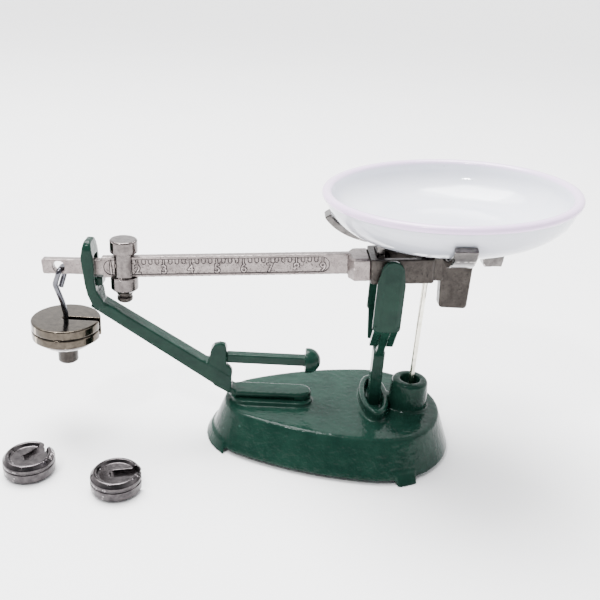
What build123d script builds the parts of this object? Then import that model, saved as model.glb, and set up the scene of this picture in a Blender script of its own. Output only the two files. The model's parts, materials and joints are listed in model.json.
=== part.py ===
from build123d import *
import os
from math import atan2, cos, hypot, pi, radians, sin, sqrt

# A dolls-house steelyard counter scale, in millimetres, Z up, standing on Z = 0.
# X runs along the base from its narrow end to its round end. Y = 0 is the plane of symmetry.
# Shapes are built with X = 0 at the narrow end of the base top, and moved to the shared origin
# at the end. The beam rests with its long end down on the guard, and that is the rest pose.

# ---- general ----
SINK = 0.3  # how far a shape is let into the one it stands on
BEYOND = 10.0  # how far a cutting shape reaches past what it cuts
RUNNING_GAP = 0.05
FIT_GAP = 0.02

# ---- base casting ----
BASE_LENGTH = 30.8
BASE_NARROW_R = 5.75
BASE_ROUND_R = 9.8
BASE_SIDE_R = 44.6
BASE_TOP = 5.9
BASE_SKIRT = 0.6
BASE_DRAFT = 1.97
BASE_WALL = 1.1
BASE_ROOF = 1.1
BASE_TOP_ROUND = 0.5
FOOT_REACH = 0.7
FOOT_TOP_GROW = 1.9
FOOT_HEIGHT = 1.5
FOOT_NARROW_EDGE_X = 0.2
FOOT_ROUND_TURN = 69.0
FOOT_ROUND_WIDTH = 2.9

# ---- guide boss and rod ----
BOSS_X = 26.3
BOSS_TOP_R = 2.55
BOSS_BOTTOM_R = 2.9
BOSS_HEIGHT = 4.25
BOSS_BORE_R = 1.4
BOSS_ROUND = 0.55
SLEEVE_WALL = 0.7
SLEEVE_BOTTOM = 3.4
ROD_R = 0.36
ROD_EYE_R = 0.85
ROD_EYE_WIDTH = 0.8
ROD_FOOT_Z = 2.4

# ---- fork pad and fork ----
FORK_X = 21.3
PAD_LENGTH = 10.8
PAD_WIDTH = 4.2
PAD_TOP = 7.5
PAD_ROUND = 0.3
PAD_SLOT_LENGTH = 8.6
PAD_SLOT_WIDTH = 2.5
PAD_SLOT_FLOOR = 6.1
STEM_WIDTH = 1.6
STEM_DEPTH = 2.0
STEM_TOP = 14.6
TENON_LENGTH = 1.3
FORK_SCREW_TOP = 7.6
PLATE_WIDTH = 3.75
PLATE_THICK = 0.9
PLATE_BEVEL_WIDTH = 0.75
PLATE_BEVEL_DEPTH = 0.4
PLATE_INNER_Y = 3.35
PLATE_BOTTOM = 19.2
PLATE_SHOULDER = 25.9
PLATE_CORNER_R = 0.35
PLATE_LAP = 0.7
PLATE_HEAD_R = 1.5
BRANCH_START = 14.3
BRANCH_SLOPE = 0.6
BRANCH_LAP = 0.4
RIB_WIDTH = 1.1
RIB_DEPTH = 1.2
FLANGE_WIDTH = 3.3
FLANGE_DEPTH = 0.7
FLANGE_BOTTOM = 15.7
FLANGE_SET_BACK = 0.1

# ---- beam: U along the beam from the fulcrum, W square to it ----
FULCRUM_Z = 27.7
BEAM_TILT = 4.3
BEAM_THICK = 1.1
BEAM_HEIGHT = 2.86
TIP_HEIGHT = 2.05
TIP_U = -46.1
TIP_RISE = 0.35
TIP_LAP = 0.5
TIP_CORNER_R = 0.25
STEP_U = -38.2
BLOCK_U = -4.95
BLOCK_LENGTH = 2.15
BLOCK_WIDTH = 4.7
BLOCK_HEIGHT = 3.05
BLOCK_DROP = 0.25
BLOCK_POINT = 0.7
BLOCK_POINT_SHARE = 0.45
BLOCK_CHAMFER = 0.25
PANEL_START_U = -38.05
PANEL_END_U = -8.0
PANEL_HEIGHT = 2.2
PANEL_DEPTH = 0.07
HOOK_HOLE_X = -22.5
HOOK_HOLE_R = 0.78

# ---- pan frame on the short end of the beam ----
FRAME_START_U = -2.8
FRAME_END_U = 5.55
FRAME_HALF_WIDTH = 3.05
FRAME_ARM = 0.9
FRAME_CORNER_R = 0.5
FRAME_TOP_W = 1.35
FRAME_BOTTOM_W = -2.0
END_BLOCK_START_U = 3.9
END_BLOCK_END_U = 6.8
END_BLOCK_HALF_WIDTH = 2.15
EYE_SLOT_LENGTH = 2.0
EYE_SLOT_WIDTH = 1.1
LOAD_PIN_U = 5.2
LOAD_PIN_R = 0.33
LOAD_PIN_HALF = 1.5
FULCRUM_PIN_R = 0.42
FULCRUM_PIN_HALF = 3.95
PIN_END_GAP = 0.08
PIN_CHAMFER = 0.1
COUNTER_LENGTH = 4.3
COUNTER_THICK = 2.0
COUNTER_TOP = 28.9
COUNTER_BOTTOM = 21.8
COUNTER_LAP = 0.8
COUNTER_CORNER_R = 0.5
COUNTER_CHAMFER = 0.15

# ---- dish and its four-armed carrier, on an axis square to the beam ----
DISH_U = 7.4
DISH_RIM_W = 9.75
DISH_R = 16.5
DISH_RIM_R = 0.55
DISH_RIM_DROP = 0.22
DISH_LIP = 0.6
DISH_DEPTH = 5.8
DISH_FLAT_R = 7.6
DISH_THICK = 0.75
DISH_STEPS = 10
CARRIER_THICK = 0.9
CARRIER_ARM_WIDTH = 2.7
CARRIER_ARM_STEPS = 6
CARRIER_SKEW = 4.5
CARRIER_GAP = 0.12
CARRIER_LONG_REACH = 0.38
CARRIER_SHORT_REACH = 0.3
CARRIER_POST_U = -1.9
CARRIER_POST_LENGTH = 1.1
CARRIER_POST_HALF = 1.5
EYE_ROOM_HEIGHT = 1.0
LUMP_START = 4.3
LUMP_END = 8.2
LUMP_TAPER = 0.75
LUMP_DROP = 1.9
LUMP_HALF = 1.1

# ---- poise ----
POISE_X = -14.0
POISE_COLLAR_R = 1.82
POISE_NECK_R = 1.38
POISE_TOP_Z = 28.85
POISE_UPPER_COLLAR = 1.75
POISE_LOWER_COLLAR_TOP = 23.75
POISE_BOTTOM_Z = 21.55
POISE_CHAMFER = 0.45
POISE_GAP = 0.14
POISE_EDGE = 0.15
POISE_BORE_TOP = 24.5
SCREW_HEAD_R = 1.05
SCREW_HEAD_HEIGHT = 1.45
SCREW_SHANK_R = 0.5
SCREW_TIP_GAP = 0.09
SCREW_GAP = 0.03
SCREW_EDGE = 0.1
SCREW_GROOVE_DEPTH = 0.25
SCREW_GROOVE_DROPS = (0.4, 0.5, 0.7, 0.8)
DRIVER_SLOT_WIDTH = 0.3
DRIVER_SLOT_DEPTH = 0.25

# ---- hanger and weights ----
WIRE_R = 0.36
HOOK_CLEARANCE = 0.08
# The bent part of the wire, from the far leg's end: X offset, Y, and drop below its highest point.
WIRE_PATH = ((-0.5, 0.75, 3.1), (0.0, 1.1, 1.4), (0.0, 1.0, 0.0), (0.0, -1.0, 0.0), (-0.7, -1.0, 2.0),
             (-0.1, -0.3, 4.8))
WIRE_STEM_DROP = 6.6
WIRE_BENDS = (1.1, 0.55, 0.55, 0.9, 1.3, 1.3)
WIRE_FOOT_INSET = 0.4
HOOK_WIRE_X = -22.3
HANGER_X = -22.15
HUNG_R = 4.62
HUNG_THICK = 1.3
HUNG_TOP_Z = 17.0
HUNG_SLOT = 0.95
HUNG_EDGE = 0.2
LAYER_GAP = 0.03
SAUCER_R = 3.95
SAUCER_DEPTH = 1.8
# The saucer's section: share of its radius, and drop below its top.
SAUCER_SECTION = ((0.96, 0.0), (1.0, 0.15), (1.0, 0.35), (0.83, 0.95), (0.6, 1.45))
NUT_R = 1.35
NUT_EDGE = 0.2
NUT_BOTTOM_Z = 10.45
LOOSE_R = 3.3
LOOSE_SLOT = 1.5
# A loose weight's section: distance in from its side, and height, from the underside to the rim.
LOOSE_SECTION = ((0.7, 0.0), (0.35, 0.0), (0.05, 0.35), (0.0, 1.45), (0.12, 1.55), (0.12, 1.7), (0.0, 1.8),
                 (0.05, 2.15), (0.45, 2.6), (0.55, 2.65), (0.8, 2.65))
LOOSE_HOLLOW = 0.15
LOOSE_RECESS = 0.45
LOOSE_RECESS_INSET = 1.05
SLOT_PAST_CENTRE = 0.1
LOOSE_PLACES = {"loose_weight_left": (-24.8, -11.5, 56.0), "loose_weight_right": (-12.9, -14.3, 12.0)}

# ---- beam guard, its arm and the weight rail ----
GUARD_X = -18.35
GUARD_NEAR_Y = -1.85
GUARD_FAR_Y = 1.65
GUARD_SLOT_HALF = 0.85
GUARD_TOP = 28.75
GUARD_HEADROOM = 0.8
GUARD_BOTTOM = 19.2
GUARD_CAP_ROUND = 0.35
# X and Z of the guard post's left edge and right edge, each from the top down.
GUARD_LEFT_EDGE = ((-18.9, 28.75), (-19.3, 26.6), (-18.95, 23.0), (-18.65, 21.4), (-18.1, 20.0),
                   (-17.6, 19.2))
GUARD_RIGHT_EDGE = ((-18.05, 28.75), (-17.7, 26.6), (-17.6, 23.0), (-17.4, 21.9), (-16.6, 20.6),
                    (-16.2, 19.5))
GUARD_GUSSET_RISE = 2.2
GUARD_SHOULDER_R = 1.3
LUG_END_X = -16.9
LUG_START_X = -18.0
LUG_NEAR_Y = -0.3
LUG_TOP_DROP = 0.3
LUG_HEIGHT = 1.2
LEDGE_GAP = 0.06
ARM_NEAR_Y = -1.6
ARM_FAR_Y = 0.75
ARM_START = (-18.35, 19.6)
ARM_END = (0.3, 7.2)
ARM_CUT_X = 0.8
ARM_THIN = 1.55
ARM_THICK = 2.3
# X and Z round the ear, from the arm up its left side and down its right side.
EAR_OUTLINE = ((-1.6, 8.2), (-3.0, 10.6), (-2.5, 12.1), (-2.3, 12.9), (-2.2, 13.7), (-1.75, 14.55),
               (-0.9, 15.0), (-0.2, 14.75), (0.0, 13.9), (0.03, 11.6), (0.5, 11.3), (0.85, 10.8),
               (0.88, 10.2), (0.7, 9.5), (0.4, 9.0), (0.75, 8.0), (1.7, 7.5), (1.7, 6.6))
EAR_SET_BACK = 0.1
EAR_SLOPE_TOP = 15.2
EAR_SLOPE_REACH = 1.0
EAR_CLEARANCE = 0.8
BAR_START = 0.4
BAR_LENGTH = 11.8
BAR_WIDTH = 3.1
BAR_Y = -0.2
BAR_TOP = 7.6
BAR_BOTTOM = 6.45
BAR_EDGE = 0.4
BAR_PAD_MARGIN = 0.4
BAR_GROOVE_START = 0.6
BAR_GROOVE_STOP = 2.4
BAR_GROOVE_DEPTH = 0.35
BAR_GROOVE_HEIGHT = 0.45
RAIL_Z = 12.35
RAIL_Y = -0.35
RAIL_SIZE = 1.35
RAIL_TENON = 0.8
RAIL_TENON_LENGTH = 1.15
RAIL_EDGE = 0.2
RAIL_START = 0.03
RAIL_END = 11.0
RAIL_STOP_R = 1.75
RAIL_STOP_LENGTH = 2.2
SCREW_R = 0.5
SCREW_CAP_R = 0.95
SCREW_CAP_HEIGHT = 0.45
SCREW_CAP_EDGE = 0.2
SCREW_SLOT_HALF = 0.12
SCREW_SLOT_DEPTH = 0.2
SCREW_MARGINS = (2.6, 3.0)
SCREW_HOLE_DEPTH = 0.75
SCREW_END_GAP = 0.15


def slab(outline, y_near, y_far):
    """A flat plate between two Y planes, from an outline drawn in X and Z."""
    return extrude(Plane.XZ.offset(-y_far) * outline, amount=y_far - y_near, dir=(0, -1, 0))


def cross_slab(outline, x_left, x_right):
    """A flat plate between two X planes, from an outline drawn in Y and Z."""
    return extrude(Plane.YZ.offset(x_left) * outline, amount=x_right - x_left, dir=(1, 0, 0))


def cylinder_z(radius, bottom, top, x=0.0, y=0.0):
    """An upright cylinder between two heights."""
    return Pos(x, y, (bottom + top) / 2) * Cylinder(radius, top - bottom)


def cylinder_y(radius, half_length, x=0.0, z=0.0):
    """A cylinder along Y, centred on the plane of symmetry."""
    return Pos(x, 0, z) * Rot(90, 0, 0) * Cylinder(radius, 2 * half_length)


def block(x0, x1, y0, y1, z0, z1):
    """A box between two corners."""
    return Pos((x0 + x1) / 2, (y0 + y1) / 2, (z0 + z1) / 2) * Box(x1 - x0, y1 - y0, z1 - z0)


def on_beam(shape):
    """Moves a shape from the beam's own frame to its rest place."""
    return Pos(FORK_X, 0, FULCRUM_Z) * Rot(0, -BEAM_TILT, 0) * shape


def beam_point(u, w):
    """X and Z at rest of a point in the beam's own frame."""
    tilt = radians(BEAM_TILT)
    return FORK_X + u * cos(tilt) - w * sin(tilt), FULCRUM_Z + u * sin(tilt) + w * cos(tilt)


def revolved(*points):
    """A solid of revolution about Z, from radius and height pairs."""
    return revolve(make_face(Plane.XZ * Polyline(*points, close=True)), Axis.Z)


# ---- base ----

def base_outline(grow):
    """The base's smooth-iron outline: two end circles joined by long side arcs."""
    left_x = BASE_NARROW_R
    right_x = BASE_LENGTH - BASE_ROUND_R
    span = right_x - left_x
    left_reach = BASE_SIDE_R - BASE_NARROW_R
    right_reach = BASE_SIDE_R - BASE_ROUND_R
    centre_x = (left_reach ** 2 - right_reach ** 2 + span ** 2) / (2 * span)
    centre_y = -sqrt(left_reach ** 2 - centre_x ** 2)
    left_angle = atan2(-centre_y, -centre_x)
    right_angle = atan2(-centre_y, span - centre_x)
    middle_angle = (left_angle + right_angle) / 2
    reach = BASE_SIDE_R + grow

    def side(angle, sign):
        return (left_x + centre_x + reach * cos(angle), sign * (centre_y + reach * sin(angle)))

    narrow_tip = (left_x - BASE_NARROW_R - grow, 0)
    round_tip = (BASE_LENGTH + grow, 0)
    return make_face([
        ThreePointArc(side(left_angle, -1), narrow_tip, side(left_angle, 1)),
        ThreePointArc(side(left_angle, 1), side(middle_angle, 1), side(right_angle, 1)),
        ThreePointArc(side(right_angle, 1), round_tip, side(right_angle, -1)),
        ThreePointArc(side(right_angle, -1), side(middle_angle, -1), side(left_angle, -1)),
    ])


def drafted(top_grow, bottom_grow, top, bottom):
    """A solid with sloping walls between two outlines of the base."""
    return loft([Pos(0, 0, bottom) * base_outline(bottom_grow), Pos(0, 0, top) * base_outline(top_grow)])


def feet():
    """Low feet that stand out under the skirt: a wide one round the narrow end, two at the round end."""
    ring = drafted(FOOT_TOP_GROW, BASE_DRAFT + FOOT_REACH, FOOT_HEIGHT, 0)
    places = Pos(FOOT_NARROW_EDGE_X - BEYOND, 0, 0) * Box(2 * BEYOND, 2 * BEYOND, BEYOND)
    for sign in (1, -1):
        window = Pos(BASE_ROUND_R, 0, 0) * Box(BEYOND, FOOT_ROUND_WIDTH, BEYOND)
        places += Pos(BASE_LENGTH - BASE_ROUND_R, 0, 0) * Rot(0, 0, sign * FOOT_ROUND_TURN) * window
    return ring & places


def foot_places():
    """X and Y of a point on the sole of each foot."""
    reach = BASE_DRAFT + FOOT_REACH - BASE_WALL / 2
    turn = radians(FOOT_ROUND_TURN)
    round_x = BASE_LENGTH - BASE_ROUND_R + (BASE_ROUND_R + reach) * cos(turn)
    round_y = (BASE_ROUND_R + reach) * sin(turn)
    return {"narrow": (-reach, 0), "round_far": (round_x, round_y), "round_near": (round_x, -round_y)}


def fork_pad():
    """The oval pad with an oval well that the fork's stem stands in."""
    pad = extrude(Ellipse(PAD_WIDTH / 2, PAD_LENGTH / 2), amount=PAD_TOP - BASE_TOP + SINK)
    return Pos(FORK_X, 0, BASE_TOP - SINK) * fillet(pad.edges().group_by(Axis.Z)[-1], PAD_ROUND)


def bar_pad():
    """The low pad under the guard's foot bar."""
    outline = SlotOverall(BAR_LENGTH - BAR_PAD_MARGIN, BAR_WIDTH + 2 * BAR_PAD_MARGIN)
    pad = extrude(outline, amount=BAR_BOTTOM - BASE_TOP + SINK)
    return Pos(BAR_START + BAR_LENGTH / 2 + BAR_PAD_MARGIN, BAR_Y - BAR_PAD_MARGIN, BASE_TOP - SINK) * pad


def boss():
    """The round boss that guides the rod, with a sleeve under it."""
    body = Pos(BOSS_X, 0, BASE_TOP - SINK) * Cone(
        BOSS_BOTTOM_R, BOSS_TOP_R, BOSS_HEIGHT + SINK, align=(Align.CENTER, Align.CENTER, Align.MIN))
    body = fillet(body.edges().group_by(Axis.Z)[-1], BOSS_ROUND)
    return body + cylinder_z(BOSS_BORE_R + SLEEVE_WALL, SLEEVE_BOTTOM, BASE_TOP, BOSS_X)


def base_hollow():
    """The space inside the casting, open underneath."""
    slope = BASE_DRAFT / (BASE_TOP - BASE_SKIRT)
    roof = BASE_TOP - BASE_ROOF
    low = BASE_SKIRT - 2 * SINK - FIT_GAP
    low_grow = BASE_DRAFT + slope * (BASE_SKIRT - low) - BASE_WALL
    return drafted(BASE_ROOF * slope - BASE_WALL, low_grow, roof, low)


def base_casting():
    """Hollow casting with three feet, the rod's boss, the fork's pad and the guard's pad."""
    shell = drafted(0, BASE_DRAFT, BASE_TOP, BASE_SKIRT)
    shell = fillet(shell.edges().group_by(Axis.Z)[-1], BASE_TOP_ROUND)
    shell = shell + feet() - base_hollow()
    shell += boss() + fork_pad() + bar_pad()
    well = extrude(Ellipse(PAD_SLOT_WIDTH / 2, PAD_SLOT_LENGTH / 2), amount=BEYOND)
    shell -= Pos(FORK_X, 0, PAD_SLOT_FLOOR) * well
    shell -= cylinder_z(BOSS_BORE_R, 0, BASE_TOP + BEYOND, BOSS_X)
    shell -= Pos(FORK_X, 0, 0) * Box(STEM_WIDTH + 2 * FIT_GAP, STEM_DEPTH + 2 * FIT_GAP, 2 * BEYOND)
    for x in screw_places():
        shell -= cylinder_z(SCREW_R + FIT_GAP, 0, BEYOND, x, BAR_Y)
    return shell


# ---- fork ----

def fork_plate(sign):
    """One upright bearing plate with bevelled sides, chamfered shoulders and a round head."""
    half = PLATE_WIDTH / 2
    head = PLATE_HEAD_R
    body = Polygon((-half, PLATE_BOTTOM), (half, PLATE_BOTTOM), (half, PLATE_SHOULDER),
                   (head, FULCRUM_Z), (-head, FULCRUM_Z), (-half, PLATE_SHOULDER), align=None)
    body = fillet(body.vertices().group_by(Axis.Y)[0], PLATE_CORNER_R)
    outline = body + Pos(0, FULCRUM_Z) * Circle(head)
    inner = sign * PLATE_INNER_Y
    outer = sign * (PLATE_INNER_Y + PLATE_THICK)
    plate = slab(outline, min(inner, outer), max(inner, outer))
    edge = outer - sign * PLATE_BEVEL_DEPTH
    flat = half - PLATE_BEVEL_WIDTH
    bevelled = Polygon((-half, inner), (half, inner), (half, edge), (flat, outer), (-flat, outer),
                       (-half, edge), align=None)
    return plate & Pos(0, 0, PLATE_BOTTOM - BEYOND) * extrude(bevelled, amount=3 * BEYOND, dir=(0, 0, 1))


def fork_branch(sign):
    """One sloping branch of the fork: a wide flange with a narrow rib under it."""
    def inner_y(z):
        return BRANCH_SLOPE * (z - BRANCH_START)

    low = BRANCH_START - BRANCH_LAP
    top = PLATE_BOTTOM + PLATE_LAP
    plate_y = PLATE_INNER_Y + PLATE_THICK - FLANGE_SET_BACK
    rib = Polygon((0, low), (inner_y(low) + RIB_DEPTH, low), (plate_y, PLATE_BOTTOM), (plate_y, top),
                  (inner_y(top), top), (0, BRANCH_START), align=None)
    flange_y = inner_y(FLANGE_BOTTOM)
    flange = Polygon((flange_y, FLANGE_BOTTOM), (flange_y + FLANGE_DEPTH, FLANGE_BOTTOM),
                     (plate_y, PLATE_BOTTOM + SINK), (plate_y, top), (inner_y(top), top), align=None)
    branch = cross_slab(rib, -RIB_WIDTH / 2, RIB_WIDTH / 2)
    branch += cross_slab(flange, -FLANGE_WIDTH / 2, FLANGE_WIDTH / 2)
    return branch if sign > 0 else mirror(branch, about=Plane.XZ)


def fulcrum_fork():
    """The Y-shaped fork: stem with a tenon through the base, two branches, two plates."""
    fork = block(-STEM_WIDTH / 2, STEM_WIDTH / 2, -STEM_DEPTH / 2, STEM_DEPTH / 2,
                 PAD_SLOT_FLOOR - TENON_LENGTH, STEM_TOP)
    for sign in (-1, 1):
        fork += fork_branch(sign) + fork_plate(sign)
        depth = FULCRUM_PIN_HALF + PIN_END_GAP - PLATE_INNER_Y
        seat = Pos(0, sign * (PLATE_INNER_Y + depth / 2), FULCRUM_Z) * Rot(90, 0, 0) * Cylinder(
            FULCRUM_PIN_R + RUNNING_GAP, depth)
        fork -= seat
    fork -= cylinder_z(SCREW_R, 0, FORK_SCREW_TOP)
    return Pos(FORK_X, 0, 0) * fork


# ---- beam parts, in the beam's own frame ----

def beam_outline():
    """The bar seen from the side, with the thin tip turned up a little."""
    half = BEAM_HEIGHT / 2
    tip_half = TIP_HEIGHT / 2
    bar_end = BLOCK_U - SINK
    bar = Pos((STEP_U + bar_end) / 2, 0) * Rectangle(bar_end - STEP_U, BEAM_HEIGHT)
    root_u = STEP_U + TIP_LAP
    tip = Polygon((root_u, tip_half), (TIP_U, TIP_RISE + tip_half), (TIP_U, TIP_RISE - tip_half),
                  (root_u, -tip_half), align=None)
    tip = fillet(tip.vertices().group_by(Axis.X)[0], TIP_CORNER_R)
    return bar + tip


def cross_block():
    """The chevron-fronted block across the fulcrum end of the bar."""
    wide = BLOCK_WIDTH / 2
    end = BLOCK_U + BLOCK_LENGTH
    point = wide * BLOCK_POINT_SHARE
    outline = Polygon((end, -wide), (end, wide), (BLOCK_U, wide), (BLOCK_U - BLOCK_POINT, point),
                      (BLOCK_U - BLOCK_POINT, -point), (BLOCK_U, -wide), align=None)
    solid = extrude(outline, amount=BLOCK_HEIGHT, dir=(0, 0, 1))
    solid = chamfer(solid.edges().group_by(Axis.Z)[-1], BLOCK_CHAMFER)
    return Pos(0, 0, -BLOCK_HEIGHT / 2 - BLOCK_DROP) * solid


def beam_bar():
    """Graduated bar with a thin drilled tip and a chevron cross block at the fulcrum end."""
    body = slab(beam_outline(), -BEAM_THICK / 2, BEAM_THICK / 2)
    panel_length = PANEL_END_U - PANEL_START_U
    panel = Pos((PANEL_START_U + PANEL_END_U) / 2, 0) * SlotOverall(panel_length, PANEL_HEIGHT)
    for side in (-1, 1):
        edge = side * BEAM_THICK / 2
        inner = edge - side * PANEL_DEPTH
        body -= slab(panel, min(inner, edge + side), max(inner, edge + side))
    body += cross_block()
    hole_u, hole_w = hook_hole()
    body -= cylinder_y(HOOK_HOLE_R, BEAM_THICK, hole_u, hole_w)
    return on_beam(body)


def hook_hole():
    """U and W of the hook's hole, on the centre line of the thin tip."""
    hole_u = (HOOK_HOLE_X - FORK_X) / cos(radians(BEAM_TILT))
    return hole_u, TIP_RISE * (STEP_U - hole_u) / (STEP_U - TIP_U)


def pan_frame():
    """Open rectangular frame with a slotted end block that holds the rod's pin."""
    wide = FRAME_HALF_WIDTH
    body = block(FRAME_START_U, FRAME_END_U, -wide, wide, FRAME_BOTTOM_W, FRAME_TOP_W)
    body = fillet(body.edges().filter_by(Axis.Z), FRAME_CORNER_R)
    inner = wide - FRAME_ARM
    body -= block(FRAME_START_U + FRAME_ARM, END_BLOCK_START_U, -inner, inner, -BEYOND, BEYOND)
    reach = END_BLOCK_HALF_WIDTH
    body += block(END_BLOCK_START_U, END_BLOCK_END_U, -reach, reach, FRAME_BOTTOM_W, FRAME_TOP_W)
    slot_start = LOAD_PIN_U - EYE_SLOT_LENGTH / 2
    body -= block(slot_start, slot_start + EYE_SLOT_LENGTH, -EYE_SLOT_WIDTH / 2, EYE_SLOT_WIDTH / 2,
                  -BEYOND, BEYOND)
    body -= cylinder_y(FULCRUM_PIN_R, BEYOND)
    body -= cylinder_y(LOAD_PIN_R, LOAD_PIN_HALF, LOAD_PIN_U)
    return on_beam(body)


def counterbalance():
    """The plain upright block on the frame's end, cut square to the frame where they meet."""
    left = beam_point(END_BLOCK_END_U, 0)[0] - COUNTER_LAP
    right = beam_point(END_BLOCK_END_U, 0)[0] + COUNTER_LENGTH
    outline = Polygon((left, COUNTER_TOP), (right, COUNTER_TOP), (right, COUNTER_BOTTOM),
                      (left, COUNTER_BOTTOM), align=None)
    body = slab(outline, -COUNTER_THICK / 2, COUNTER_THICK / 2)
    body -= on_beam(block(END_BLOCK_END_U - BEYOND, END_BLOCK_END_U, -BEYOND, BEYOND, -BEYOND, BEYOND))
    body = fillet(body.edges().filter_by(Axis.Y).group_by(Axis.Z)[0], COUNTER_CORNER_R)
    return chamfer(body.faces().filter_by(Axis.Y).edges(), COUNTER_CHAMFER)


def fulcrum_pin():
    """Hardened pin fixed in the frame, with its ends in the fork."""
    pin = cylinder_y(FULCRUM_PIN_R, FULCRUM_PIN_HALF)
    return on_beam(chamfer(pin.edges(), PIN_CHAMFER))


def load_pin():
    """Short pin across the end block's slot."""
    return on_beam(cylinder_y(LOAD_PIN_R, LOAD_PIN_HALF, LOAD_PIN_U))


# ---- dish and carrier ----

def dish_wall(offset, start_turn, count):
    """Points down the dish's wall, moved outward by an offset; a turn of 0 is its top, pi / 2 its foot."""
    points = []
    depth = DISH_DEPTH - DISH_LIP
    run = DISH_R - DISH_LIP - DISH_FLAT_R
    for step in range(count + 1):
        turn = start_turn + (pi / 2 - start_turn) * step / count
        slope = hypot(depth * cos(turn), run * sin(turn))
        radius = DISH_FLAT_R + run * cos(turn) + offset * depth * cos(turn) / slope
        points.append((radius, -DISH_LIP - depth * sin(turn) - offset * run * sin(turn) / slope))
    return points


def dish():
    """Enamelled pan: flat floor, curved wall and a rolled rim."""
    outer = dish_wall(0, 0.0, DISH_STEPS)
    inner = dish_wall(-DISH_THICK, 0.0, DISH_STEPS)
    section = make_face([
        Line((0, inner[-1][1]), inner[-1]),
        Spline(*inner[::-1]),
        Line(inner[0], outer[0]),
        Spline(*outer),
        Line(outer[-1], (0, outer[-1][1])),
        Line((0, outer[-1][1]), (0, inner[-1][1])),
    ])
    body = revolve(Plane.XZ * section, Axis.Z)
    rim = Pos(0, 0, -DISH_RIM_DROP) * Torus(DISH_R - DISH_RIM_R, DISH_RIM_R)
    return on_beam(Pos(DISH_U, 0, DISH_RIM_W) * (body + rim))


def carrier_arm(reach):
    """One flat strip from the hub, along +X, curving up outside the dish's wall."""
    inside = dish_wall(CARRIER_GAP, reach, CARRIER_ARM_STEPS)[::-1]
    outside = dish_wall(CARRIER_GAP + CARRIER_THICK, reach, CARRIER_ARM_STEPS)[::-1]
    section = make_face([
        Line((0, inside[0][1]), inside[0]),
        Spline(*inside),
        Line(inside[-1], outside[-1]),
        Spline(*outside[::-1]),
        Line(outside[0], (0, outside[0][1])),
        Line((0, outside[0][1]), (0, inside[0][1])),
    ])
    return slab(section, -CARRIER_ARM_WIDTH / 2, CARRIER_ARM_WIDTH / 2)


def pan_carrier():
    """Carrier with two long arms, two short arms set askew, a lump and two feet that stand on the frame."""
    long_arm = carrier_arm(CARRIER_LONG_REACH)
    short_arm = carrier_arm(CARRIER_SHORT_REACH)
    body = long_arm + Rot(0, 0, 180) * long_arm
    for turn in (90, -90):
        body += Rot(0, 0, turn - CARRIER_SKEW) * short_arm
    top = -DISH_DEPTH - CARRIER_GAP - SINK
    bottom = FRAME_TOP_W - DISH_RIM_W
    half = CARRIER_POST_HALF
    post_x = CARRIER_POST_U - DISH_U
    body += block(post_x, post_x + CARRIER_POST_LENGTH, -half, half, bottom, top)
    body += block(END_BLOCK_START_U - DISH_U, END_BLOCK_END_U - DISH_U, -half, half, bottom, top)
    lump = Polygon((LUMP_START, top), (LUMP_START + LUMP_TAPER, bottom - LUMP_DROP),
                   (LUMP_END - LUMP_TAPER, bottom - LUMP_DROP), (LUMP_END, top), align=None)
    body += slab(lump, -LUMP_HALF, LUMP_HALF)
    body -= Pos(LOAD_PIN_U - DISH_U, 0, bottom) * Box(EYE_SLOT_LENGTH, EYE_SLOT_WIDTH, EYE_ROOM_HEIGHT)
    return on_beam(Pos(DISH_U, 0, DISH_RIM_W) * body)


# ---- rod ----

def guide_rod():
    """Bright wire with an eye on the load pin, hanging down through the boss."""
    pin_x, pin_z = beam_point(LOAD_PIN_U, 0)
    eye = cylinder_y(ROD_EYE_R, ROD_EYE_WIDTH / 2, pin_x, pin_z)
    wire = cylinder_z(ROD_R, ROD_FOOT_Z, pin_z - LOAD_PIN_R, pin_x)
    wire = chamfer(wire.edges().group_by(Axis.Z)[0], PIN_CHAMFER)
    rod = eye + wire
    return rod - cylinder_y(LOAD_PIN_R + RUNNING_GAP, BEYOND, pin_x, pin_z)


# ---- poise ----

def poise():
    """Turned poise with a slot for the beam, hanging plumb on it."""
    collar_low = POISE_TOP_Z - POISE_UPPER_COLLAR
    body = revolved((0, POISE_TOP_Z), (POISE_COLLAR_R - POISE_EDGE, POISE_TOP_Z),
                    (POISE_COLLAR_R, POISE_TOP_Z - POISE_EDGE), (POISE_COLLAR_R, collar_low),
                    (POISE_NECK_R, collar_low), (POISE_NECK_R, POISE_LOWER_COLLAR_TOP),
                    (POISE_COLLAR_R, POISE_LOWER_COLLAR_TOP),
                    (POISE_COLLAR_R, POISE_BOTTOM_Z + POISE_CHAMFER),
                    (POISE_COLLAR_R - POISE_CHAMFER, POISE_BOTTOM_Z), (0, POISE_BOTTOM_Z))
    body = Pos(POISE_X, 0, 0) * body
    gap = POISE_GAP
    centre_u = (POISE_X - FORK_X) / cos(radians(BEAM_TILT))
    slot = Pos(centre_u, 0, 0) * Box(BEYOND, BEAM_THICK + 2 * gap, BEAM_HEIGHT + 2 * gap)
    body -= on_beam(slot)
    return body - cylinder_z(SCREW_SHANK_R + SCREW_GAP, 0, POISE_BORE_TOP, POISE_X)


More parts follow.
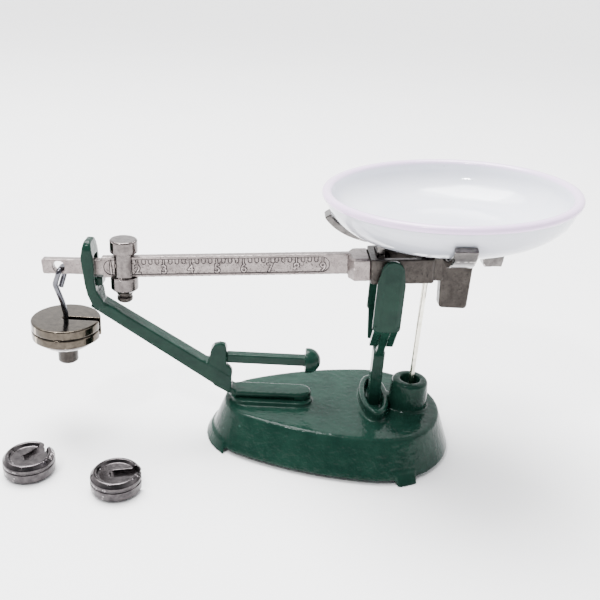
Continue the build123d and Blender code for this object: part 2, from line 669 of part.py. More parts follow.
def poise_screw():
    """Thumb screw with a grooved head under the poise."""
    head_top = POISE_BOTTOM_Z - SCREW_GAP
    head_low = head_top - SCREW_HEAD_HEIGHT
    beam_u = (POISE_X - FORK_X) / cos(radians(BEAM_TILT))
    shank_top = beam_point(beam_u, -BEAM_HEIGHT / 2)[1] - SCREW_TIP_GAP
    edge_r = SCREW_HEAD_R - SCREW_EDGE
    groove_r = SCREW_HEAD_R - SCREW_GROOVE_DEPTH
    groove = [head_top - drop for drop in SCREW_GROOVE_DROPS]
    profile = revolved((0, shank_top), (SCREW_SHANK_R, shank_top), (SCREW_SHANK_R, head_top),
                       (edge_r, head_top), (SCREW_HEAD_R, head_top - SCREW_EDGE),
                       (SCREW_HEAD_R, groove[0]), (groove_r, groove[1]), (groove_r, groove[2]),
                       (SCREW_HEAD_R, groove[3]), (SCREW_HEAD_R, head_low + 2 * SCREW_EDGE),
                       (SCREW_HEAD_R - 2 * SCREW_EDGE, head_low), (0, head_low))
    screw = profile - Pos(0, 0, head_low) * Box(BEYOND, DRIVER_SLOT_WIDTH, 2 * DRIVER_SLOT_DEPTH)
    return Pos(POISE_X, 0, 0) * screw


# ---- hanger and weights ----

def wire_height():
    """Height of the wire's centre where it hangs in the beam's hole."""
    hole_u, hole_w = hook_hole()
    return beam_point(hole_u, hole_w)[1] - HOOK_HOLE_R + WIRE_R + HOOK_CLEARANCE


def hook_wire():
    """Bent wire: short leg behind the beam, through the hole, bowed leg in front, then the stem."""
    top = wire_height()
    points = [(HOOK_WIRE_X + step, y, top - drop) for step, y, drop in WIRE_PATH]
    points += [(HANGER_X, 0, top - WIRE_STEM_DROP), (HANGER_X, 0, NUT_BOTTOM_Z + WIRE_FOOT_INSET)]
    path = FilletPolyline(*points, radius=list(WIRE_BENDS))
    section = Plane(origin=path @ 0, z_dir=path % 0) * Circle(WIRE_R)
    return sweep(section, path=path)


def slotted_disc(radius, thickness, slot_turn, edge):
    """A slotted weight lying on Z = 0, with its slot open towards slot_turn degrees."""
    disc = Cylinder(radius, thickness, align=(Align.CENTER, Align.CENTER, Align.MIN))
    disc = fillet(disc.edges(), edge)
    slot = Circle(HUNG_SLOT / 2) + Pos(radius, 0) * Rectangle(2 * radius, HUNG_SLOT)
    disc -= Pos(0, 0, -SINK) * extrude(slot, amount=BEYOND)
    return Rot(0, 0, slot_turn) * disc


def hung_weight(layer):
    """One of the two slotted weights on the hanger, counted from the top."""
    bottom = HUNG_TOP_Z - HUNG_THICK - layer * (HUNG_THICK + LAYER_GAP)
    return Pos(HANGER_X, 0, bottom) * slotted_disc(HUNG_R, HUNG_THICK, 0, HUNG_EDGE)


def hung_bottom():
    """Height of the underside of the lower hung weight."""
    return HUNG_TOP_Z - 2 * HUNG_THICK - LAYER_GAP


def hanger_saucer():
    """Turned saucer that carries the hung weights."""
    top = hung_bottom() - LAYER_GAP
    low = top - SAUCER_DEPTH
    section = [(SAUCER_R * share, top - drop) for share, drop in SAUCER_SECTION]
    body = revolved((WIRE_R, top), *section, (NUT_R, low), (WIRE_R, low))
    return Pos(HANGER_X, 0, 0) * body


def hanger_nut():
    """Round nut under the saucer."""
    top = hung_bottom() - LAYER_GAP - SAUCER_DEPTH
    inner_r = NUT_R - NUT_EDGE
    body = revolved((WIRE_R, top), (inner_r, top), (NUT_R, top - NUT_EDGE),
                    (NUT_R, NUT_BOTTOM_Z + NUT_EDGE), (inner_r, NUT_BOTTOM_Z), (WIRE_R, NUT_BOTTOM_Z))
    return Pos(HANGER_X, 0, 0) * body


def loose_weight(x, y, slot_turn):
    """A small slotted weight with a raised rim and a groove round its side."""
    section = [(LOOSE_R - inset, height) for inset, height in LOOSE_SECTION]
    floor = LOOSE_SECTION[-1][1] - LOOSE_RECESS
    disc = revolved((0, LOOSE_HOLLOW), *section, (LOOSE_R - LOOSE_RECESS_INSET, floor), (0, floor))
    slot = Circle(LOOSE_SLOT / 2) + Pos(LOOSE_R, 0) * Rectangle(2 * LOOSE_R, LOOSE_SLOT)
    disc -= Pos(-SLOT_PAST_CENTRE, 0, -SINK) * extrude(slot, amount=BEYOND)
    return Pos(x, y, 0) * Rot(0, 0, slot_turn) * disc


# ---- guard, arm, rail and screws ----

def guard_post():
    """The upright loop round the beam: two walls, a rounded roof and the ledge the beam rests on."""
    side = Polygon(*GUARD_LEFT_EDGE, *GUARD_RIGHT_EDGE[::-1], align=None)
    side = fillet(side.vertices().group_by(Axis.Y)[-1], GUARD_CAP_ROUND)
    front = Polygon((GUARD_NEAR_Y, GUARD_BOTTOM), (GUARD_FAR_Y, GUARD_BOTTOM + GUARD_GUSSET_RISE),
                    (GUARD_FAR_Y, GUARD_TOP), (GUARD_NEAR_Y, GUARD_TOP), align=None)
    front = fillet(front.vertices().group_by(Axis.Y)[-1], GUARD_SHOULDER_R)
    across = cross_slab(front, GUARD_X - BEYOND, GUARD_X + BEYOND)
    post = slab(side, GUARD_NEAR_Y, GUARD_FAR_Y) & across
    post -= block(GUARD_X - BEYOND, GUARD_X + BEYOND, -GUARD_SLOT_HALF, GUARD_SLOT_HALF,
                  ledge_height(), roof_height())
    lug_top = ledge_height() - LUG_TOP_DROP
    return post + block(LUG_START_X, LUG_END_X, LUG_NEAR_Y, GUARD_FAR_Y, lug_top - LUG_HEIGHT, lug_top)


def ledge_height():
    """Height of the ledge, just under the beam's thin tip where it passes the guard."""
    beam_u = (GUARD_X - FORK_X) / cos(radians(BEAM_TILT))
    return beam_point(beam_u, -TIP_HEIGHT / 2)[1] - LEDGE_GAP


def roof_height():
    """Height of the roof of the guard's slot, which stops the beam's rise."""
    beam_u = (GUARD_X - FORK_X) / cos(radians(BEAM_TILT))
    return beam_point(beam_u, TIP_HEIGHT / 2)[1] + GUARD_HEADROOM


def guard_limb():
    """The sloping arm, thin at the guard and thick where it meets the ear and the bar."""
    x0, z0 = ARM_START
    x1, z1 = ARM_END
    length = hypot(x1 - x0, z1 - z0)
    along = ((x1 - x0) / length, (z1 - z0) / length)
    normal = (-along[1], along[0])
    outline = Polygon((x0, z0), (x1, z1), (x1 + normal[0] * ARM_THICK, z1 + normal[1] * ARM_THICK),
                      (x0 + normal[0] * ARM_THIN, z0 + normal[1] * ARM_THIN), align=None)
    room = block(ARM_CUT_X, BEYOND, -BEYOND, BEYOND, BAR_TOP, BAR_TOP + BEYOND)
    return slab(outline, ARM_NEAR_Y, ARM_FAR_Y) - room


def guard_ear():
    """The upright ear that holds the rail, with the small knuckle under it."""
    body = slab(Polygon(*EAR_OUTLINE, align=None), ARM_NEAR_Y + EAR_SET_BACK, ARM_FAR_Y)
    slope = Polygon((-EAR_SLOPE_REACH, EAR_SLOPE_TOP), (EAR_SLOPE_REACH, EAR_SLOPE_TOP),
                    (EAR_SLOPE_REACH, EAR_SLOPE_TOP - 2 * EAR_SLOPE_REACH), align=None)
    body -= block(EAR_SET_BACK, BEYOND, ARM_NEAR_Y + EAR_SLOPE_REACH, BEYOND,
                  BAR_TOP + EAR_CLEARANCE, RAIL_Z - RAIL_SIZE / 2)
    return body - cross_slab(slope, -BEYOND, BEYOND)


def guard_bar():
    """The foot bar with a round end and an undercut along its near side."""
    bar = Pos(BAR_START + BAR_LENGTH / 2, BAR_Y, BAR_BOTTOM) * extrude(
        SlotOverall(BAR_LENGTH, BAR_WIDTH), amount=BAR_TOP - BAR_BOTTOM)
    bar = fillet(bar.edges().group_by(Axis.Z)[-1], BAR_EDGE)
    near = BAR_Y - BAR_WIDTH / 2
    groove = block(BAR_START + BAR_GROOVE_START, BAR_START + BAR_LENGTH - BAR_GROOVE_STOP,
                   near - BEYOND, near + BAR_GROOVE_DEPTH, 0, BAR_BOTTOM + BAR_GROOVE_HEIGHT)
    return bar - groove


def screw_places():
    """X of the two screws that hold the foot bar."""
    return BAR_START + SCREW_MARGINS[0], BAR_START + BAR_LENGTH - SCREW_MARGINS[1]


def guard_arm():
    """Guard, arm, ear and foot bar as one casting."""
    body = guard_limb() + guard_ear() + guard_bar() + guard_post()
    tenon = RAIL_TENON / 2
    body -= block(-RAIL_TENON_LENGTH - RUNNING_GAP, BEYOND, RAIL_Y - tenon, RAIL_Y + tenon,
                  RAIL_Z - tenon, RAIL_Z + tenon)
    for x in screw_places():
        body -= cylinder_z(SCREW_R, 0, BAR_BOTTOM + SCREW_HOLE_DEPTH, x, BAR_Y)
    return body


def weight_rail():
    """Square bar with a tenon in the ear and a domed stop at its free end."""
    half = RAIL_SIZE / 2
    bar = block(RAIL_START, RAIL_END + SINK, RAIL_Y - half, RAIL_Y + half, RAIL_Z - half, RAIL_Z + half)
    bar = fillet(bar.edges().filter_by(Axis.X), RAIL_EDGE)
    pin = RAIL_TENON / 2
    tenon = block(-RAIL_TENON_LENGTH, SINK, RAIL_Y - pin, RAIL_Y + pin, RAIL_Z - pin, RAIL_Z + pin)
    length = RAIL_STOP_LENGTH
    dome_r = (RAIL_STOP_R ** 2 + length ** 2) / (2 * length)
    dome = Pos(length - dome_r, 0, 0) * Sphere(dome_r)
    dome &= Pos(length / 2, 0, 0) * Box(length, BEYOND, BEYOND)
    return bar + tenon + Pos(RAIL_END, RAIL_Y, RAIL_Z) * dome


def cap_screw(x, y, top):
    """A pan-head screw pointing up from inside the base."""
    roof = BASE_TOP - BASE_ROOF
    shank = cylinder_z(SCREW_R, roof - FIT_GAP, top, x, y)
    cap = cylinder_z(SCREW_CAP_R, roof - SCREW_CAP_HEIGHT, roof, x, y)
    cap = fillet(cap.edges().group_by(Axis.Z)[0], SCREW_CAP_EDGE)
    half = SCREW_SLOT_HALF
    slot = block(x - SCREW_CAP_R, x + SCREW_CAP_R, y - half, y + half, 0,
                 roof - SCREW_CAP_HEIGHT + SCREW_SLOT_DEPTH)
    return shank + cap - slot


def base_screws():
    """Two screws into the foot bar and one into the fork's tenon."""
    bar_top = BAR_BOTTOM + SCREW_HOLE_DEPTH - SCREW_END_GAP
    screws = [cap_screw(x, BAR_Y, bar_top) for x in screw_places()]
    screws.append(cap_screw(FORK_X, 0, FORK_SCREW_TOP - SCREW_END_GAP))
    return Compound(screws)


# ---- output ----

def all_parts():
    """Every node and its shape."""
    parts = {
        "base_casting": base_casting(),
        "fulcrum_fork": fulcrum_fork(),
        "guard_arm": guard_arm(),
        "weight_rail": weight_rail(),
        "base_screws": base_screws(),
        "beam_bar": beam_bar(),
        "pan_frame": pan_frame(),
        "counterbalance": counterbalance(),
        "fulcrum_pin": fulcrum_pin(),
        "load_pin": load_pin(),
        "pan_carrier": pan_carrier(),
        "dish": dish(),
        "guide_rod": guide_rod(),
        "poise": poise(),
        "poise_screw": poise_screw(),
        "hook_wire": hook_wire(),
        "hung_weight_upper": hung_weight(0),
        "hung_weight_lower": hung_weight(1),
        "hanger_saucer": hanger_saucer(),
        "hanger_nut": hanger_nut(),
    }
    for name, (x, y, slot_turn) in LOOSE_PLACES.items():
        parts[name] = loose_weight(x, y, slot_turn)
    return parts


def frame_shift(parts):
    """X and Y of the middle of the whole object's box, which becomes the origin."""
    boxes = [shape.bounding_box() for shape in parts.values()]
    shift_x = (min(box.min.X for box in boxes) + max(box.max.X for box in boxes)) / 2
    shift_y = (min(box.min.Y for box in boxes) + max(box.max.Y for box in boxes)) / 2
    return shift_x, shift_y


def main():
    os.makedirs("parts", exist_ok=True)
    parts = all_parts()
    shift_x, shift_y = frame_shift(parts)
    for name, shape in parts.items():
        export_step(Pos(-shift_x, -shift_y, 0) * shape, f"parts/{name}.step")


main()
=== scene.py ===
"""Looks of a miniature steelyard counter scale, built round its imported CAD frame."""
import json
from math import atan2, cos, pi, radians, sin

import bmesh
import bpy
from mathutils import Matrix, Vector

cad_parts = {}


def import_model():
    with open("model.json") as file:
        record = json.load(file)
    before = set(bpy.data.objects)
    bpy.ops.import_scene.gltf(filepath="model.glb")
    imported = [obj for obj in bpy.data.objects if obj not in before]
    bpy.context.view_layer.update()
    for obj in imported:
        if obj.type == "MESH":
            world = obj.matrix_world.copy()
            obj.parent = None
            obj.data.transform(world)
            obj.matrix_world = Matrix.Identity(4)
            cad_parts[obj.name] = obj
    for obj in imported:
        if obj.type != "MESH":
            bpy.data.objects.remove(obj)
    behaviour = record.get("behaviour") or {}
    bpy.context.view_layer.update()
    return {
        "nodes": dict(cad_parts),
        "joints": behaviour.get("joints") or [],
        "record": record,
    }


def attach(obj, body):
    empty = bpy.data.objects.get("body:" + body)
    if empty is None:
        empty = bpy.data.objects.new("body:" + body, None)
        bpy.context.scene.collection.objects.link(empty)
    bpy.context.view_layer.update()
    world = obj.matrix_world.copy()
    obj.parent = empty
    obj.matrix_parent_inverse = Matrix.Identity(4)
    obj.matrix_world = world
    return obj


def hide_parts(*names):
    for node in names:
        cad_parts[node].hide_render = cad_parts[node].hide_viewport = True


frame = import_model()

MM = 0.001
SCENE = bpy.context.scene
NODES = frame["nodes"]
JOINTS = {joint["name"]: joint for joint in frame["joints"]}
RECORD = frame["record"]
BODY_OF = {node: body for body, nodes in RECORD["behaviour"]["bodies"].items() for node in nodes}
SLOT_OF = {part["node"]: part["material_slot"] for part in RECORD["subparts"]}
FULCRUM = Vector(JOINTS["beam_tilt"]["pos_m"])
SLIDE = JOINTS["poise_slide"]["axis"]
BEAM_TILT = atan2(SLIDE[2], SLIDE[0])
# The beam's own frame: U along it from the fulcrum, V to the back, W square to its top edge.
BEAM = Matrix.Translation(FULCRUM) @ Matrix.Rotation(-BEAM_TILT, 4, "Y")

# Beam markings, in the beam's frame, in millimetres. A line's radius is half its width.
BEAM_FACE_V = -0.48
PANEL_START_U = -38.05
PANEL_END_U = -8.0
PANEL_HEIGHT = 2.2
# The groove, the scallops and the numeral shadows are drawn as dark lines of painted shade.
GROOVE_INSET = 0.05
GROOVE_RADIUS = 0.07
RIM_INSET = -0.08
RIM_RADIUS = 0.05
LAST_NUMERAL = 9
LAST_NUMERAL_U = -8.95
NUMERAL_PITCH = 3.516
NUMERAL_SIZE = 1.72
NUMERAL_W = -0.93
NUMERAL_BEVEL = 0.012
NUMERAL_SHADOW_GROW = 0.12
NUMERAL_SHADOW_HEIGHT = 0.012
NUMERAL_GROW = -0.005
NUMERAL_HEIGHT = 0.06
TICK_TOP_W = 0.98
TICK_LENGTH = 0.74
TICK_RADIUS = 0.06
LONG_SCALLOP_WIDTH = 0.26
LONG_SCALLOP_DROP = 0.88
LONG_SCALLOP_RADIUS = 0.06
SCALLOPS = 3
SCALLOP_WIDTH = 0.48
SCALLOP_DROP = 0.64
SCALLOP_RADIUS = 0.062
ARC_STEPS = 12

# Dish, on an axis square to the beam, in millimetres. Heights are above DISH_RIM_W.
DISH_U = 7.4
DISH_RIM_W = 9.75
DISH_FLAT_R = 7.6
DISH_WALL_R = 15.9
DISH_DEPTH = 5.8
DISH_THICK = 0.75
DISH_WALL_TOP = -0.6
DISH_FLOOR_R = 4.0
DISH_FLOOR_SAGS = (0.02, 0.04)
DISH_WALL_STEPS = 24
DISH_TURN_STEPS = 160
# The lip rolls outwards: radius and height pairs from the outer wall over to the inner one.
DISH_LIP = [(15.85, -0.72), (16.15, -0.66), (16.38, -0.5), (16.47, -0.25), (16.42, 0.0),
            (16.25, 0.2), (15.95, 0.31), (15.6, 0.27), (15.3, 0.08), (15.17, -0.2)]
DISH_LIP_OUTER_JOIN = -0.8
DISH_LIP_INNER_JOIN = -0.75

# The parts of a noise's range over which a material turns from one look to another.
EVEN = (0.35, 0.65)
GENTLE = (0.3, 0.7)

# Materials. Sizes and depths are in millimetres, colours are linear.
COAT_ROUGHNESS = 0.06

GREEN = (0.0050, 0.0200, 0.0143)
GREEN_PALER = (0.0082, 0.0285, 0.0200)
# Painted shade: the near-black green put into concave corners.
GREEN_CORNER_SHADE = (0.002, 0.008, 0.006)
# Lighter edge green: partly thin paint and wear, partly a painted highlight.
GREEN_EDGE_WEAR_AND_HIGHLIGHT = (0.02, 0.055, 0.042)
GREEN_BLOTCH = 2.6
GREEN_SHADE_CORNERS = (0.40, 0.48)
GREEN_EDGES = (0.535, 0.62)
GREEN_CHIPS = (0.45, 0.62)
GREEN_CHIP_SIZE = 0.35
PEEL_SIZE = 0.85
PEEL_DEPTH = 0.07
FINE_PEEL_SIZE = 0.3
FINE_PEEL_DEPTH = 0.014
GREEN_SHEEN_SIZE = 1.4
GREEN_ROUGHNESS = (0.07, 0.12)
GREEN_SPECULAR = 0.10

CAST_BLOTCH = 1.3
CAST_PIT_SIZE = 0.2
CAST_PITS = (0.57, 0.66)
# Painted shade for concave corners of the cast metal.
CAST_SHADE_CORNERS = (0.40, 0.475)
CAST_CORNER_SHADE_SHARE = 0.4
# Brighter cast edges: partly rubbed plating, partly a painted highlight.
CAST_EDGES = (0.53, 0.6)
CAST_EDGE_WEAR_AND_HIGHLIGHT_SHARE = 1.5
CAST_GRAIN_SIZE = 0.3
CAST_GRAIN_DEPTH = 0.035
CAST_PIT_SHARE = 0.6
CAST_SHEEN_SIZE = 0.5

TURNED_BLOTCH = 0.8
TURNED_TONES = (0.35, 0.68)
TURNED_SPOT_SIZE = 0.16
TURNED_SPOTS = (0.63, 0.72)
TURNED_SPOT_SHARE = 0.3
# Painted shade for concave corners of the turned metal.
TURNED_SHADE_CORNERS = (0.38, 0.47)
TURNED_CORNER_SHADE_SHARE = 0.15
# Painted highlight on convex edges of the turned metal.
TURNED_HIGHLIGHT_EDGES = (0.54, 0.62)
TURNED_GRAIN_SIZE = 0.25
TURNED_GRAIN_DEPTH = 0.01
TURNED_SHEEN_SIZE = 0.4

ENAMEL = (0.74, 0.765, 0.85)
ENAMEL_PALER = (0.80, 0.815, 0.88)
# Painted shade for the enamel that faces down.
ENAMEL_UNDERSIDE_SHADE = (0.33, 0.335, 0.38)
ENAMEL_SPECK = (0.40, 0.40, 0.46)
ENAMEL_LIP = (0.80, 0.60, 0.88)
ENAMEL_BLOTCH = 5.0
# Where the enamel takes painted shade: how far down the surface faces, as the Z of its normal,
# from fully underside to not at all.
ENAMEL_SHADE_FACING = (-0.95, -0.05)
ENAMEL_SPECK_SIZE = 0.3
ENAMEL_SPECKS = (0.73, 0.78)
ENAMEL_EDGES = (0.515, 0.54)
ENAMEL_WAVE_SIZE = 2.2
ENAMEL_WAVE_DEPTH = 0.05
ENAMEL_SHEEN_SIZE = 1.5
ENAMEL_ROUGHNESS = (0.08, 0.16)
ENAMEL_COAT = 0.4

# Colours of the painted shade in the beam's recessed lines.
LINE_DARK = (0.014, 0.010, 0.011)
LINE_PALER = (0.035, 0.026, 0.027)
LINE_BLOTCH = 0.25
LINE_GRAIN_SIZE = 0.1
LINE_GRAIN_DEPTH = 0.01
LINE_SHEEN_SIZE = 0.3
LINE_ROUGHNESS = (0.55, 0.75)
LINE_METALLIC = 0.2

FLOOR_TONE = (0.93, 0.93, 0.935)
FLOOR_PALER = (0.95, 0.95, 0.95)
FLOOR_BLOTCH = 60.0
FLOOR_SHEEN_SIZE = 20.0
FLOOR_ROUGHNESS = (0.55, 0.65)
FLOOR_SPECULAR = 0.2
FLOOR_HALF_WIDTH = 40.0
FLOOR_DROP = 0.00005

# Camera angles are in degrees, its place is from the fulcrum in millimetres.
CAMERA_YAW = -2.82
CAMERA_PITCH = 23.71
CAMERA_ROLL = 4.12
CAMERA_LENS = 44.249
CAMERA_SENSOR = 36.0
CAMERA_CLIP = (0.005, 20.0)
CAMERA_FROM_FULCRUM = (-16.14, -92.068, 34.225)

# Softboxes: place and size in metres, power in watts. Overcast sky: watts per square metre,
# degrees across, and the direction it comes from.
LIGHT_TARGET = Vector((0, 0, 0.015))
KEY = ((-0.06, 0.10, 0.42), 0.24, 3.5)
SPARKLE = ((-0.16, -0.22, 0.36), 0.04, 1.0)
OVERCAST_STRENGTH = 4.5
OVERCAST_SPREAD = 50
OVERCAST_FROM = (-0.25, 0.25, 1.0)
WORLD_DARK = (0.12, 0.125, 0.13, 1)
WORLD_BRIGHT = (0.95, 0.95, 0.96, 1)
WORLD_DARK_AT = 0.16
WORLD_BRIGHT_AT = 0.62
WORLD_STRENGTH = 2.8


# ---- node materials ----

class Nodes:
    """Short names for building one material's node tree, in millimetre coordinates."""

    def __init__(self, name):
        self.material = bpy.data.materials.new(name)
        self.material.use_nodes = True
        self.tree = self.material.node_tree
        self.shader = self.tree.nodes["Principled BSDF"]
        coords = self.tree.nodes.new("ShaderNodeTexCoord")
        self.place = self.tree.nodes.new("ShaderNodeMapping")
        self.place.inputs["Scale"].default_value = (1 / MM,) * 3
        self.tree.links.new(coords.outputs["Object"], self.place.inputs["Vector"])

    def link(self, source, target):
        self.tree.links.new(source, target)

    def noise(self, size, detail=3.0, rough=0.55):
        """Noise whose features are about size millimetres."""
        node = self.tree.nodes.new("ShaderNodeTexNoise")
        node.inputs["Scale"].default_value = 1 / size
        node.inputs["Detail"].default_value = detail
        node.inputs["Roughness"].default_value = rough
        self.link(self.place.outputs["Vector"], node.inputs["Vector"])
        return node.outputs["Fac"]

    def band(self, fac, low, high, out_low=0.0, out_high=1.0):
        """fac stretched from low..high to out_low..out_high, and held outside."""
        node = self.tree.nodes.new("ShaderNodeMapRange")
        node.inputs["From Min"].default_value = low
        node.inputs["From Max"].default_value = high
        node.inputs["To Min"].default_value = out_low
        node.inputs["To Max"].default_value = out_high
        self.link(fac, node.inputs["Value"])
        return node.outputs["Result"]

    def mix(self, fac, a, b):
        """Colour a where fac is 0 and b where it is 1; either may be a socket."""
        node = self.tree.nodes.new("ShaderNodeMix")
        node.data_type = "RGBA"
        self.link(fac, node.inputs["Factor"])
        for value, socket in ((a, node.inputs[6]), (b, node.inputs[7])):
            if isinstance(value, tuple):
                socket.default_value = value + (1.0,)
            else:
                self.link(value, socket)
        return node.outputs[2]

    def product(self, a, b):
        """a times b."""
        node = self.tree.nodes.new("ShaderNodeMath")
        node.operation = "MULTIPLY"
        self.link(a, node.inputs[0])
        self.link(b, node.inputs[1])
        return node.outputs[0]

    def edges(self, low, high):
        """1 on sharp convex edges, 0 on flats."""
        node = self.tree.nodes.new("ShaderNodeNewGeometry")
        return self.band(node.outputs["Pointiness"], low, high)

    def hollows(self, low, high):
        """1 in concave corners, 0 on flats."""
        node = self.tree.nodes.new("ShaderNodeNewGeometry")
        return self.band(node.outputs["Pointiness"], low, high, 1.0, 0.0)

    def underside(self, low, high):
        """1 where the surface faces down, 0 where it faces sideways or up."""
        geometry = self.tree.nodes.new("ShaderNodeNewGeometry")
        facing = self.tree.nodes.new("ShaderNodeSeparateXYZ")
        self.link(geometry.outputs["Normal"], facing.inputs["Vector"])
        return self.band(facing.outputs["Z"], low, high, 1.0, 0.0)

    def bump(self, height, depth, after=None):
        """Raises the surface by height times depth millimetres; it adds to the bump after."""
        node = self.tree.nodes.new("ShaderNodeBump")
        node.inputs["Distance"].default_value = depth * MM
        self.link(height, node.inputs["Height"])
        if after is not None:
            self.link(after, node.inputs["Normal"])
        self.link(node.outputs["Normal"], self.shader.inputs["Normal"])
        return node.outputs["Normal"]

    def finish(self, color, rough, metallic=0.0, coat=0.0, specular=0.5):
        """The finished material, from colour and roughness sockets and even values."""
        self.link(color, self.shader.inputs["Base Color"])
        self.link(rough, self.shader.inputs["Roughness"])
        self.shader.inputs["Metallic"].default_value = metallic
        self.shader.inputs["Coat Weight"].default_value = coat
        self.shader.inputs["Coat Roughness"].default_value = COAT_ROUGHNESS
        self.shader.inputs["Specular IOR Level"].default_value = specular
        return self.material


def scaled(color, share):
    """A colour made darker or brighter, up to full white."""
    return tuple(min(1.0, c * share) for c in color)


def green_paint():
    """Thick gloss paint with an orange peel, painted shade in the corners, lighter edges in
    patches (partly thin paint and wear, partly a painted highlight).
    """
    n = Nodes("green_paint")
    tone = n.mix(n.band(n.noise(GREEN_BLOTCH, detail=4.0), *EVEN), GREEN, GREEN_PALER)
    # Painted shade: concave corners turn darker green.
    tone = n.mix(n.hollows(*GREEN_SHADE_CORNERS), tone, GREEN_CORNER_SHADE)
    chips = n.band(n.noise(GREEN_CHIP_SIZE, detail=4.0), *GREEN_CHIPS)
    # Edges turn lighter in patches: partly wear, partly a painted highlight.
    tone = n.mix(n.product(n.edges(*GREEN_EDGES), chips), tone, GREEN_EDGE_WEAR_AND_HIGHLIGHT)
    peel = n.bump(n.noise(PEEL_SIZE, detail=2.0), PEEL_DEPTH)
    n.bump(n.noise(FINE_PEEL_SIZE, detail=2.0), FINE_PEEL_DEPTH, peel)
    rough = n.band(n.noise(GREEN_SHEEN_SIZE), *GENTLE, *GREEN_ROUGHNESS)
    return n.finish(tone, rough, specular=GREEN_SPECULAR)


def cast_metal(name, light, dark, pit, rough=(0.28, 0.42)):
    """Plated cast metal: grain, dark pits, painted shade in corners, brighter edges (partly
    rubbed plating, partly a painted highlight).
    """
    n = Nodes(name)
    blotches = n.noise(CAST_BLOTCH, detail=5.0, rough=0.65)
    tone = n.mix(n.band(blotches, *EVEN), light, dark)
    pits = n.band(n.noise(CAST_PIT_SIZE, detail=4.0, rough=0.75), *CAST_PITS)
    tone = n.mix(pits, tone, pit)
    # Painted shade: concave corners darken towards the pit colour.
    tone = n.mix(n.hollows(*CAST_SHADE_CORNERS), tone, scaled(pit, CAST_CORNER_SHADE_SHARE))
    # Edges brighter than the light tone: partly rubbed plating, partly a painted highlight.
    tone = n.mix(n.edges(*CAST_EDGES), tone, scaled(light, CAST_EDGE_WEAR_AND_HIGHLIGHT_SHARE))
    coarse = n.bump(n.noise(CAST_GRAIN_SIZE, detail=4.0, rough=0.7), CAST_GRAIN_DEPTH)
    n.bump(pits, -CAST_GRAIN_DEPTH * CAST_PIT_SHARE, coarse)
    return n.finish(tone, n.band(n.noise(CAST_SHEEN_SIZE), *EVEN, *rough), metallic=1.0)


def turned_metal(name, light, dark, rough=(0.14, 0.26), bright=1.6):
    """Plated turned metal: fine blotches, small dark spots, painted shade in corners, and a
    painted highlight on edges, bright times as light.
    """
    n = Nodes(name)
    blotches = n.noise(TURNED_BLOTCH, detail=5.0, rough=0.6)
    tone = n.mix(n.band(blotches, *TURNED_TONES), light, dark)
    spots = n.band(n.noise(TURNED_SPOT_SIZE, rough=0.65), *TURNED_SPOTS)
    tone = n.mix(spots, tone, scaled(dark, TURNED_SPOT_SHARE))
    # Painted shade: concave corners darken.
    tone = n.mix(n.hollows(*TURNED_SHADE_CORNERS), tone, scaled(dark, TURNED_CORNER_SHADE_SHARE))
    # Painted highlight: edges brighter than the light tone by the bright factor.
    tone = n.mix(n.edges(*TURNED_HIGHLIGHT_EDGES), tone, scaled(light, bright))
    n.bump(n.noise(TURNED_GRAIN_SIZE), TURNED_GRAIN_DEPTH)
    return n.finish(tone, n.band(n.noise(TURNED_SHEEN_SIZE), *EVEN, *rough), metallic=1.0)


def white_enamel():
    """Fired enamel: bluish white, glossy, slightly uneven, with a faint lilac lip and painted
    shade where it faces down.
    """
    n = Nodes("white_enamel")
    tone = n.mix(n.band(n.noise(ENAMEL_BLOTCH), *GENTLE), ENAMEL, ENAMEL_PALER)
    # Painted shade: the enamel turns greyer where it faces down.
    tone = n.mix(n.underside(*ENAMEL_SHADE_FACING), tone, ENAMEL_UNDERSIDE_SHADE)
    specks = n.band(n.noise(ENAMEL_SPECK_SIZE, detail=2.0), *ENAMEL_SPECKS)
    tone = n.mix(specks, tone, ENAMEL_SPECK)
    tone = n.mix(n.edges(*ENAMEL_EDGES), tone, ENAMEL_LIP)
    n.bump(n.noise(ENAMEL_WAVE_SIZE, detail=2.0), ENAMEL_WAVE_DEPTH)
    rough = n.band(n.noise(ENAMEL_SHEEN_SIZE), *GENTLE, *ENAMEL_ROUGHNESS)
    return n.finish(tone, rough, coat=ENAMEL_COAT)


def engraving():
    """Painted shade: the dark drawn on the beam's recessed lines and round its numerals."""
    n = Nodes("engraving")
    tone = n.mix(n.band(n.noise(LINE_BLOTCH), *EVEN), LINE_DARK, LINE_PALER)
    n.bump(n.noise(LINE_GRAIN_SIZE), LINE_GRAIN_DEPTH)
    rough = n.band(n.noise(LINE_SHEEN_SIZE), *GENTLE, *LINE_ROUGHNESS)
    return n.finish(tone, rough, metallic=LINE_METALLIC)


# Cast metal: light tone, dark tone, pits, and roughness where it isn't the usual one.
CAST = {
    "cast_nickel": ((0.27, 0.235, 0.226), (0.17, 0.146, 0.141), (0.022, 0.017, 0.017)),
    "dark_nickel": ((0.052, 0.046, 0.042), (0.031, 0.027, 0.025), (0.009, 0.008, 0.008),
                    (0.3, 0.42)),
}
